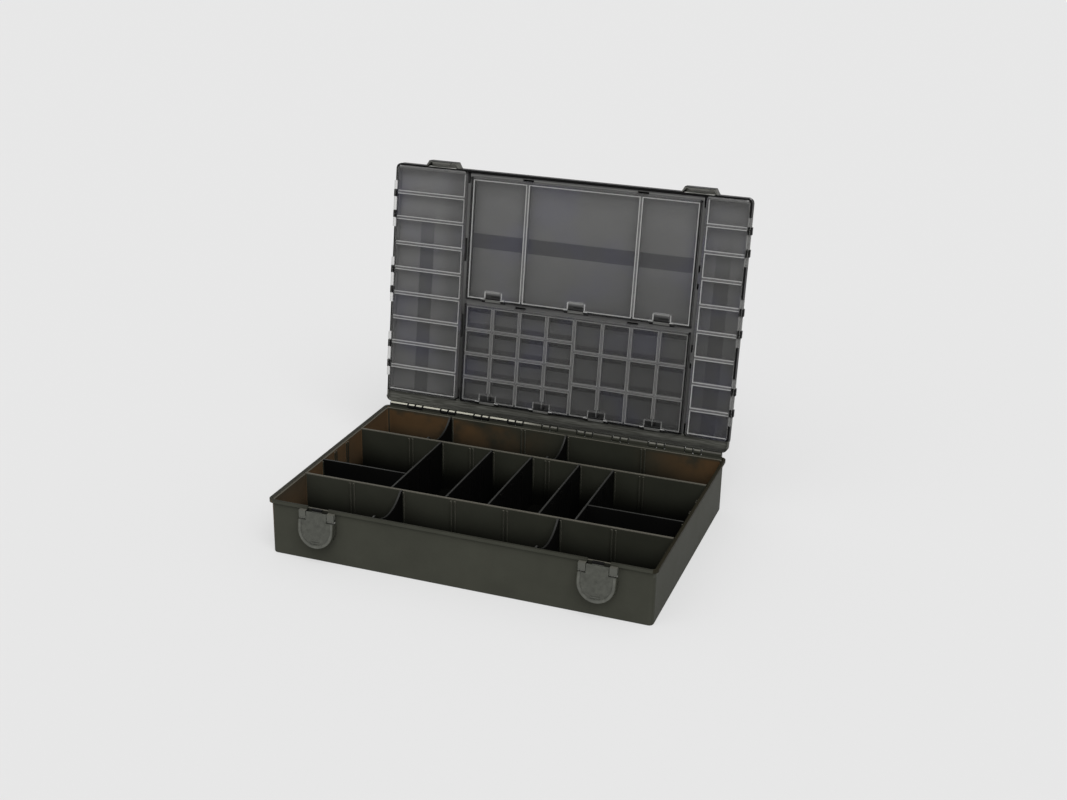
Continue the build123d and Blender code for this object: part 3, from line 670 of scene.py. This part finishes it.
def light_through_walls(tree, colour):
    """A painted patchy brown light in the rear wall's ends and in the left wall, with a painted
    glow on the left wall.
    """
    x, y, z = object_place(tree)
    rear_face = within(tree, y, wall_inner_y - wall_face, wall_inner_y + wall_face)
    ends = calculate(tree, "ADD", ramp_between(tree, x, *brown_to_left),
                     ramp_between(tree, x, *brown_to_right))
    left_face = within(tree, x, -wall_inner_x - wall_face, -wall_inner_x + wall_face)
    warm = larger(tree, product(tree, rear_face, ends), left_face)
    patches = noise(tree, object_vector(tree), brown_patch_size, 3.0)
    warm = product(tree, warm, ramp_between(tree, z, *brown_from_floor),
                   ramp_between(tree, z, *brown_to_rim),
                   ramp_between(tree, patches, *brown_patches), brown_strength)
    colour = blend_colours(tree, warm, colour, painted_brown_light)
    glow = product(tree, left_face, ramp_between(tree, z, *glow_from_floor), glow_share)
    return blend_colours(tree, glow, colour, painted_brown_glow)


def light_on_front_row(tree, colour, inside):
    """The front row is lit, more towards the left and the top."""
    x, y, z = object_place(tree)
    lit = product(tree, inside, ramp_between(tree, y, *front_row_edge),
                  ramp_between(tree, z, *front_light_from_floor),
                  ramp_between(tree, x, *front_light_to_left), front_light_share)
    return blend_colours(tree, lit, colour, olive)


def highlight_wall_edges(tree, colour, inside):
    """Painted highlights on the top edges of the long walls and ribs, and on the sides of the ribs.
    """
    x, y, z = object_place(tree)
    wall_edges = product(tree, ramp_between(tree, distance(tree, y), *row_wall_reach),
                         ramp_between(tree, z, *row_top_edge))
    edges = product(tree, facing_up(tree), ramp_between(tree, z, *highlight_edge_height))
    colour = blend_colours(tree, larger(tree, edges, wall_edges), colour, wall_edge_highlight)
    ribs = product(tree, facing_sideways(tree),
                   within(tree, x, -rib_reach, rib_reach, rib_border),
                   inside, ramp_between(tree, z, *highlight_rib_height))
    return blend_colours(tree, ribs, colour, wall_edge_highlight)


def tray_rim_tones(tree, colour):
    """A darker top on the rim in painted shade, and at the right end a bead in painted shade with a
    painted band of light below it.
    """
    x, _, z = object_place(tree)
    colour = blend_colours(tree, above(tree, z, tray_height - soft, sharp), colour, rim_top_shade)
    right_end = ramp_between(tree, x, *right_end_edge)
    bead = product(tree, right_end, above(tree, z, bead_edge))
    colour = blend_colours(tree, bead, colour, rim_shade)
    # Painted light on a band below the bead, in the latch's pale grey
    light_under_bead = product(tree, right_end,
                         within(tree, z, bead_light_low, bead_edge, bead_border),
                         bead_light_share)
    return blend_colours(tree, light_under_bead, colour, latch_pale)


def from_latch(tree, x):
    """Distance to the left or right of a latch's middle, below zero towards the box's middle."""
    return calculate(tree, "SUBTRACT", distance(tree, x), latch_middle)


def latch_ear_tones(tree, colour):
    """Pale ears with painted highlights on their feet, and painted shade in the rim's notch between
    them.
    """
    x, y, z = object_place(tree)
    sideways = distance(tree, from_latch(tree, x))
    ears = product(tree, below(tree, sideways, latch_flap_radius, sharp),
                   ramp_between(tree, y, -half_depth + sharp, -half_depth - softer),
                   within(tree, z, *ear_band, softer))
    colour = blend_colours(tree, ears, colour, latch_pale)
    feet = product(tree, ears, ramp_between(tree, z, *ear_foot))
    colour = blend_colours(tree, feet, colour, foot_highlight)
    # Painted shade in the rim's notch
    notch = product(tree, below(tree, sideways, rim_notch_half, sharp),
                    below(tree, y, -wall_outer_y), within(tree, z, *rim_notch_band))
    return blend_colours(tree, notch, colour, edge_black)


def make_tray_plastic():
    """Olive plastic with painted shade inside and deeper down, and the brown light that its thin
    outer walls let through painted on the inside.
    """
    material, tree, shader = new_material("tray_plastic")
    x, y, z = object_place(tree)
    inside = product(tree, within(tree, x, -wall_inner_x - softer, wall_inner_x + softer),
                     within(tree, y, -wall_inner_y - softer, wall_inner_y + softer))
    # Painted shade inside the walls, darker still towards the floor
    colour = blend_colours(tree, inside, olive, shaded_olive)
    deep = product(tree, inside, ramp_between(tree, z, *shade_to_floor))
    colour = blend_colours(tree, deep, colour, deep_shade_olive)
    colour = light_through_walls(tree, colour)
    colour = light_on_front_row(tree, colour, inside)
    colour = highlight_wall_edges(tree, colour, inside)
    colour = tray_rim_tones(tree, colour)
    colour = latch_ear_tones(tree, colour)
    knuckles = product(tree, ramp_between(tree, y, wall_outer_y - sharp, wall_outer_y + soft),
                       ramp_between(tree, z, tray_height, tray_height + soft))
    add_moulding(tree, shader, knuckle_light_and_shade(tree, colour, knuckles))
    shader.inputs["Specular IOR Level"].default_value = tray_gloss
    return material


def skin_colour(tree, across, up):
    """Smoky skin between the compartment walls, painted with the light that comes through it, with
    a strip of painted shade near the left column and the darker raised band beyond it.
    """
    to_left = ramp_between(tree, across, *skin_to_left)
    low = blend_colours(tree, ramp_between(tree, across, *skin_to_right), skin_low,
                        skin_low_right)
    low = blend_colours(tree, to_left, low, skin_low_left)
    high = blend_colours(tree, to_left, skin_grey, skin_left)
    skin = blend_colours(tree, ramp_between(tree, up, *skin_upward), low, high)
    # Painted shade near the left column
    dim = product(tree, within(tree, across, *dim_across, dim_border), dim_share)
    skin = blend_colours(tree, dim, skin, edge_black)
    centre = within(tree, across, centre_left, centre_right, bar_border)
    far = product(tree, centre, ramp_between(tree, up, *skin_to_far_end))
    skin = blend_colours(tree, far, skin, skin_far)
    bar = product(tree, within(tree, up, *band_across, bar_border), centre)
    skin = blend_colours(tree, bar, skin, skin_dark)
    stripes = larger(tree, within(tree, across, *band_left, stripe_border),
                     within(tree, across, *band_right, stripe_border))
    stripes = product(tree, stripes, ramp_between(tree, up, *stripe_fade), stripe_share)
    return blend_colours(tree, stripes, skin, edge_black)


def lower_row_shade(tree, across, up):
    """1 where the walls of the lower grid shade the skin below them, less just above them."""
    height = calculate(tree, "SUBTRACT", up, cover_start + cell_border)
    shades = []
    for pitch in (row_pitch_right, row_pitch_left):
        share = calculate(tree, "FRACT", calculate(tree, "DIVIDE", height, pitch))
        start = 1 - (wall_shade + cell_wall) / pitch
        end = foot_shade / pitch
        under_wall = ramp_between(tree, share, start - shade_fade / 2, start + shade_fade)
        over_wall = product(tree, below(tree, share, end, shade_fade), foot_shade_share)
        shades.append(larger(tree, under_wall, over_wall))
    shade = blend_values(tree, below(tree, across, cover_middle), *shades)
    in_grid = product(tree, within(tree, across, centre_left, centre_right),
                      below(tree, up, lower_cover_end))
    return product(tree, shade, in_grid)


def groove_tones(tree, colour, across, up, depth):
    """Smoky grey floors of the grooves between the covers and of the covers' seats, with painted
    light and shade on them, painted highlights at the far end and a black far rail.
    """
    floors = within(tree, depth, *groove_floor, sharp)
    tone = blend_colours(tree, ramp_between(tree, across, *groove_to_right), groove_shaded,
                         groove_grey)
    tone = blend_colours(tree, ramp_between(tree, up, *groove_upward), tone, groove_lit)
    between = product(tree, within(tree, across, centre_left, centre_right, sharp),
                      within(tree, up, lower_cover_end, upper_cover_start))
    tone = blend_colours(tree, between, tone, groove_lit)
    colour = blend_colours(tree, floors, colour, tone)
    far = product(tree, floors, ramp_between(tree, up, *far_groove))
    colour = blend_colours(tree, far, colour, groove_far_lit)
    ledge = within(tree, up, *far_ledge, sharp)
    colour = blend_colours(tree, product(tree, ledge, floors), colour, ledge_highlight)
    rail = above(tree, up, far_rail_edge, sharp)
    colour = blend_colours(tree, product(tree, rail, floors), colour, edge_black)
    seats = within(tree, depth, *seat_floor, sharp)
    beside_centre = larger(
        tree, within(tree, across, left_cover_edge - cell_border, centre_left, sharp),
        within(tree, across, centre_right, right_cover_edge + cell_border, sharp))
    colour = blend_colours(tree, product(tree, seats, beside_centre), colour, tone)
    far_seats = product(tree, seats, within(tree, up, *far_seat, sharp))
    return blend_colours(tree, far_seats, colour, seat_highlight)


def outer_side_tones(tree, colour, across, depth):
    """Black free edges of the lid's two ends, and painted light through their smoky inner sides."""
    from_centre = distance(tree, across)
    free_edge = product(tree, ramp_between(tree, from_centre, *free_edge_across),
                        ramp_between(tree, depth, *free_edge_depth))
    colour = blend_colours(tree, free_edge, colour, edge_black)
    # Painted light through the inner sides of the lid's ends
    inner_sides = product(tree, within(tree, from_centre, *inner_side_across, sharp),
                          within(tree, depth, *inner_side_depth))
    return blend_colours(tree, inner_sides, colour, skin_grey)


def hood_mouth_tone(tree, colour, across, up, depth):
    """Painted light on the lid's free edge where a hood covers it."""
    mouth = product(tree, within(tree, distance(tree, across), latch_middle - hood_mouth_half,
                                 latch_middle + hood_mouth_half, softer),
                    ramp_between(tree, up, *lid_end_edge),
                    ramp_between(tree, depth, *hood_mouth_depth))
    return blend_colours(tree, mouth, colour, hood_inner_light)


def rear_strip_tones(tree, colour, across, up, in_strip):
    """The strip along the hinge: streaky olive, with painted shade near the hinge."""
    streaks = ramp_between(tree, lines_along_box(tree, *strip_line_size), *strip_lines)
    strip = blend_colours(tree, streaks, strip_dark, strip_olive)
    hinge_shade = product(tree, ramp_between(tree, up, *strip_to_hinge),
                         ramp_between(tree, across, *strip_shade_to_right),
                         strip_shade_share)
    strip = blend_colours(tree, hinge_shade, strip, edge_black)
    return blend_colours(tree, in_strip, colour, strip)


def make_lid_plastic():
    """The lid's frame: dark rim, smoky grey groove floors with painted light, between black groove
    sides in painted shade.
    """
    material, tree, shader = new_material("lid_plastic")
    across, up, depth = place_in_lid(tree)
    # Painted shade: black groove sides
    sides = within(tree, depth, *groove_sides, softer)
    colour = blend_colours(tree, sides, frame_dark, edge_black)
    colour = groove_tones(tree, colour, across, up, depth)
    colour = outer_side_tones(tree, colour, across, depth)
    colour = tone_notches(tree, colour)
    colour = hood_mouth_tone(tree, colour, across, up, depth)
    in_strip = below(tree, up, cover_start)
    colour = rear_strip_tones(tree, colour, across, up, in_strip)
    colour = blend_colours(tree, ramp_between(tree, depth, *skin_outer), colour, olive)
    # Painted shade in a groove across the strip
    colour = blend_colours(tree, within(tree, up, *strip_groove), colour, strip_shade)
    knuckles = product(tree, in_strip, ramp_between(tree, up, *strip_knuckles))
    add_moulding(tree, shader, knuckle_light_and_shade(tree, colour, knuckles))
    shader.inputs["Specular IOR Level"].default_value = body_gloss
    return material


def make_hood_plastic():
    """The hoods over the latches: smoky grey, with a black edge, painted light inside and olive
    outside.
    """
    material, tree, shader = new_material("hood_plastic")
    across, up, depth = place_in_lid(tree)
    colour = blend_colours(tree, ramp_between(tree, up, *hood_edge), hood_grey, edge_black)
    sideways = distance(tree, from_latch(tree, across))
    inside = product(tree, within(tree, depth, *hood_inner_depth),
                     ramp_between(tree, up, *hood_inner_end),
                     ramp_between(tree, sideways, *hood_inner_half))
    colour = blend_colours(tree, inside, colour, hood_inner_light)
    colour = blend_colours(tree, ramp_between(tree, depth, *hood_outer_depth), colour, olive)
    add_moulding(tree, shader, colour)
    shader.inputs["Specular IOR Level"].default_value = body_gloss
    return material


def shade_behind_notches(tree, skin, across, up):
    """The skin behind each notch of the upper cover is grey, and darker behind the lug.

    The shade of a notch lies a little to its left.
    """
    def from_edge(low, high):
        return within(tree, up, upper_cover_start + low, upper_cover_start + high, softer)

    shifted = calculate(tree, "ADD", across,
                        notch_shade_shift - cover_middle + 10 * upper_lug_pitch)
    nearest = calculate(tree, "PINGPONG", shifted, upper_lug_pitch / 2)
    behind_notch = product(tree, ramp_between(tree, nearest, *notch_shade_half),
                           from_edge(*notch_shade_band),
                           within(tree, across, centre_left, centre_right))
    skin = blend_colours(tree, behind_notch, skin, half_lit_notch)
    behind_lug = product(tree, ramp_between(tree, from_lug(tree, "Upper"), *lug_shade_half),
                         from_edge(*lug_shade_band))
    return blend_colours(tree, behind_lug, skin, notch_deep_shade)


def make_panel_plastic():
    """The lid's outer panel: olive outside, smoky and paler inside with painted light coming
    through, and painted shade under the grid's walls and behind the notches.
    """
    material, tree, shader = new_material("lid_panel_plastic")
    across, up, depth = place_in_lid(tree)
    skin = skin_colour(tree, across, up)
    skin = blend_colours(tree, lower_row_shade(tree, across, up), skin, edge_black)
    skin = shade_behind_notches(tree, skin, across, up)
    inner = below(tree, depth, skin_face, sharp)
    add_moulding(tree, shader, blend_colours(tree, inner, olive, skin))
    shader.inputs["Specular IOR Level"].default_value = body_gloss
    return material


def make_wall_plastic():
    """The thin compartment walls of the lid, with painted highlights on their top edges."""
    material, tree, shader = new_material("lid_wall_plastic")
    _, _, depth = place_in_lid(tree)
    inside = add_node(tree, "ShaderNodeGroup", node_tree=lid_fields).outputs["Field"]
    edge = blend_colours(tree, inside, groove_grey, wall_top_highlight)
    colour = blend_colours(tree, ramp_between(tree, depth, *wall_top_depth), skin_low, edge)
    add_moulding(tree, shader, tone_notches(tree, colour))
    return material


def make_divider_plastic():
    """Black plastic, greyer where the dividers' edges catch the light."""
    material, tree, shader = new_material("divider_plastic")
    _, y, z = object_place(tree)
    in_outer_row = product(tree, ramp_between(tree, distance(tree, y), *outer_row_edge),
                           ramp_between(tree, z, *scoop_light_height))
    high = ramp_between(tree, z, *divider_top_height)
    edge = product(tree, facing_up(tree), larger(tree, in_outer_row, high))
    colour = blend_colours(tree, edge, divider_black, divider_edge)
    add_moulding(tree, shader, colour, marks=divider_marks)
    shader.inputs["Specular IOR Level"].default_value = body_gloss
    return material


def make_latch_plastic():
    """Warm grey, with a paler rounded border, an olive outermost rim and painted shade on the
    finger behind the rim's notch.
    """
    material, tree, shader = new_material("latch_plastic")
    x, _, z = object_place(tree)
    sideways = from_latch(tree, x)
    lower = calculate(tree, "MINIMUM", calculate(tree, "SUBTRACT", z, latch_centre_height), 0.0)
    around = calculate(tree, "SQRT", calculate(tree, "ADD", product(tree, sideways, sideways),
                                               product(tree, lower, lower)))
    border = ramp_between(tree, around, *latch_border)
    colour = blend_colours(tree, border, latch_grey, latch_pale)
    colour = blend_colours(tree, ramp_between(tree, around, *latch_rim), colour, olive)
    # Painted shade on the finger behind the rim's notch
    colour = blend_colours(tree, ramp_between(tree, z, *finger_height), colour, edge_black)
    add_moulding(tree, shader, colour, latch_roughness, latch_marks)
    shader.inputs["Specular IOR Level"].default_value = body_gloss
    return material


def smoked_panel(tree, depth, lip):
    """Where a clear smoked panel has its raised lips, which gather light; its colour; its alpha."""
    lips = above(tree, depth, panel_under + soft, sharp)
    clouds = noise(tree, object_vector(tree), smoke_size, 3.0)
    tint = ramp_between(tree, clouds, *smoke_clouds)
    panel = blend_colours(tree, tint, smoke_grey, smoke_blue)
    colour = blend_colours(tree, lips, panel, lip)
    return lips, colour, larger(tree, lips, cover_alpha)


def make_centre_cover(name, cover, start, lip, notch_lip, gloss):
    """A wide smoked cover, with dark outer borders and pale arms beside its hinge's lugs.

    Start is where the cover begins above the lid's hinge.
    """
    material, tree, shader = new_material(name)
    across, up, depth = place_in_lid(tree)
    _, colour, alpha = smoked_panel(tree, depth, lip)
    to_lug = from_lug(tree, cover)
    from_edge = calculate(tree, "SUBTRACT", up, start)
    border = larger(tree, above(tree, distance(tree, across, cover_middle),
                                centre_width / 2 - cell_border, sharp),
                    below(tree, from_edge, cell_border, sharp))
    colour = blend_colours(tree, border, colour, edge_black)
    alpha = larger(tree, alpha, product(tree, border, border_alpha))
    # Painted highlight on the cover's barrel at each lug
    barrel = product(tree, ramp_between(tree, to_lug, notch_half, notch_half - soft),
                     below(tree, from_edge, barrel_top, sharp))
    colour = blend_colours(tree, barrel, colour, lug_highlight)
    alpha = larger(tree, alpha, barrel)
    arm_lip = product(tree, within(tree, to_lug, notch_half - sharp, arm_end + sharp, sharp),
                      within(tree, from_edge, *arm_lip_band, sharp))
    colour = blend_colours(tree, arm_lip, colour, arm_pale)
    alpha = larger(tree, alpha, arm_lip)
    lip_over_notch = product(tree, ramp_between(tree, to_lug, *notch_lip_half),
                             within(tree, from_edge, *notch_lip_band, sharp))
    colour = blend_colours(tree, lip_over_notch, colour, notch_lip)
    finish_cover(tree, shader, colour, alpha, gloss)
    return material


def make_side_cover(name, lip, gloss):
    """A narrow smoked cover, clear on its arms, dim at its far lip, denser along its border."""
    material, tree, shader = new_material(name)
    across, up, depth = place_in_lid(tree)
    lips, colour, alpha = smoked_panel(tree, depth, lip)
    arms = ramp_between(tree, distance(tree, across), *side_arms)
    colour = blend_colours(tree, arms, colour, arm_clear)
    alpha = blend_values(tree, arms, alpha, cover_alpha)
    far_lip = product(tree, lips, above(tree, up, far_lip_edge, sharp))
    colour = blend_colours(tree, far_lip, colour, arm_clear)
    border = within(tree, across, left_cover_edge - cell_border,
                    right_cover_edge + cell_border, sharp)
    alpha = larger(tree, alpha, product(tree, border, border_alpha))
    finish_cover(tree, shader, colour, alpha, gloss)
    return material


def finish_cover(tree, shader, colour, alpha, gloss):
    """Puts a cover's colour, clearness and gloss into its shader."""
    plug(tree, colour, shader.inputs["Base Color"])
    plug(tree, alpha, shader.inputs["Alpha"])
    shader.inputs["Roughness"].default_value = cover_roughness
    shader.inputs["Specular IOR Level"].default_value = gloss


def make_steel():
    """Drawn steel wire, with fine lines along it."""
    material, tree, shader = new_material("steel")
    lines = lines_along_box(tree, *steel_line_size)
    plug(tree, blend_colours(tree, lines, edge_black, steel_grey), shader.inputs["Base Color"])
    bump = add_node(tree, "ShaderNodeBump",
                    values={"Strength": steel_line_depth, "Distance": steel_line_height})
    plug(tree, lines, bump.inputs["Height"])
    plug(tree, bump.outputs[0], shader.inputs["Normal"])
    shader.inputs["Metallic"].default_value = 1.0
    shader.inputs["Roughness"].default_value = steel_roughness
    return material


def finish_cad_nodes():
    """Gives each of the box's pieces its plastic or steel."""
    tray_plastic = make_tray_plastic()
    lid_plastic = make_lid_plastic()
    hood_plastic = make_hood_plastic()
    wall_plastic = make_wall_plastic()
    divider_plastic = make_divider_plastic()
    latch_plastic = make_latch_plastic()
    panel_plastic = make_panel_plastic()
    side_cover = make_side_cover("smoked_side_cover", lip_grey, side_cover_gloss)
    covers = {
        "left_cover": side_cover,
        "right_cover": side_cover,
        "upper_cover": make_centre_cover("smoked_upper_cover", "Upper", upper_cover_start,
                                         lip_grey, lip_high, upper_cover_gloss),
        "lower_cover": make_centre_cover("smoked_lower_cover", "Lower", cover_start,
                                         lip_low, lip_dim, lower_cover_gloss),
    }
    steel = make_steel()
    for name, piece in nodes.items():
        if name == "tray":
            finish = tray_plastic
        elif name in ("lid", "lid_top_rail"):
            finish = lid_plastic
        elif name.startswith("hood"):
            finish = hood_plastic
        elif name.endswith("lid_walls"):
            finish = wall_plastic
        elif name == "lid_panel":
            finish = panel_plastic
        elif name in covers:
            finish = covers[name]
        elif "rod" in name or "pin" in name:
            finish = steel
        elif name.startswith("latch"):
            finish = latch_plastic
        else:
            finish = divider_plastic
        piece.data.materials.clear()
        piece.data.materials.append(finish)


def make_floor():
    """A pale floor that fades into the backdrop and keeps a faint shadow."""
    mesh = bmesh.new()
    bmesh.ops.create_circle(mesh, cap_ends=True, segments=96, radius=floor_radius)
    data = bpy.data.meshes.new("floor")
    mesh.to_mesh(data)
    mesh.free()
    floor = bpy.data.objects.new("floor", data)
    bpy.context.scene.collection.objects.link(floor)
    material, tree, shader = new_material("floor_paper")
    shader.inputs["Base Color"].default_value = floor_paper
    shader.inputs["Roughness"].default_value = floor_roughness
    shader.inputs["Specular IOR Level"].default_value = 0.0
    glow = add_node(tree, "ShaderNodeEmission", values={"Color": floor_glow, "Strength": 1.0})
    mix = add_node(tree, "ShaderNodeMixShader")
    path = add_node(tree, "ShaderNodeLightPath")
    share = product(tree, path.outputs["Is Camera Ray"], floor_glow_share)
    plug(tree, share, mix.inputs["Fac"])
    tree.links.new(shader.outputs[0], mix.inputs[1])
    tree.links.new(glow.outputs[0], mix.inputs[2])
    output = tree.nodes["Material Output"]
    tree.links.new(mix.outputs[0], output.inputs["Surface"])
    data.materials.append(material)


def make_world():
    """Even studio light, with the backdrop's own colour in the view and in reflections."""
    world = bpy.data.worlds.new("studio")
    bpy.context.scene.world = world
    world.use_nodes = True
    tree = world.node_tree
    background = tree.nodes["Background"]
    path = add_node(tree, "ShaderNodeLightPath")
    seen = larger(tree, path.outputs["Is Camera Ray"], path.outputs["Is Glossy Ray"])
    seen = larger(tree, seen, path.outputs["Is Transmission Ray"])
    plug(tree, blend_colours(tree, seen, room_light, backdrop), background.inputs["Color"])


def make_sun(name, toward, strength, spread):
    """A broad soft lamp far away; toward points from the box to the lamp."""
    lamp = bpy.data.lights.new(name, "SUN")
    lamp.energy = strength
    lamp.angle = math.radians(spread)
    holder = bpy.data.objects.new(name, lamp)
    holder.rotation_euler = Vector(toward).to_track_quat("Z", "Y").to_euler()
    bpy.context.scene.collection.objects.link(holder)


def make_camera():
    """The photograph's camera, turned round the box, raised and rolled a little."""
    turn, rise, roll = (math.radians(v) for v in (camera_turn, camera_rise, camera_roll))
    right = Vector((math.cos(turn), math.sin(turn), 0))
    back = Vector((math.sin(turn) * math.cos(rise), -math.cos(turn) * math.cos(rise),
                   math.sin(rise)))
    up = back.cross(right)
    right_rolled = math.cos(roll) * right + math.sin(roll) * up
    up_rolled = math.cos(roll) * up - math.sin(roll) * right
    data = bpy.data.cameras.new("camera")
    data.sensor_width = sensor_width
    data.lens = focal_pixels * sensor_width / photo_width
    data.clip_end = 100
    camera = bpy.data.objects.new("camera", data)
    matrix = Matrix((right_rolled, up_rolled, back)).transposed().to_4x4()
    matrix.translation = (Vector(camera_target) + camera_distance * back
                          + camera_right * right_rolled + camera_up * up_rolled)
    camera.matrix_world = matrix
    bpy.context.scene.collection.objects.link(camera)
    bpy.context.scene.camera = camera


moulded_surface = make_moulded_surface()
lid_place = make_lid_place()
lid_fields = make_lid_fields()
lid_lugs = make_lid_lugs()
lid_notches = make_lid_notches()
finish_cad_nodes()
make_floor()
make_world()
make_sun("key_light", *key_light)
make_sun("fill_light", *fill_light)
make_camera()
bpy.context.scene.view_settings.view_transform = "Standard"
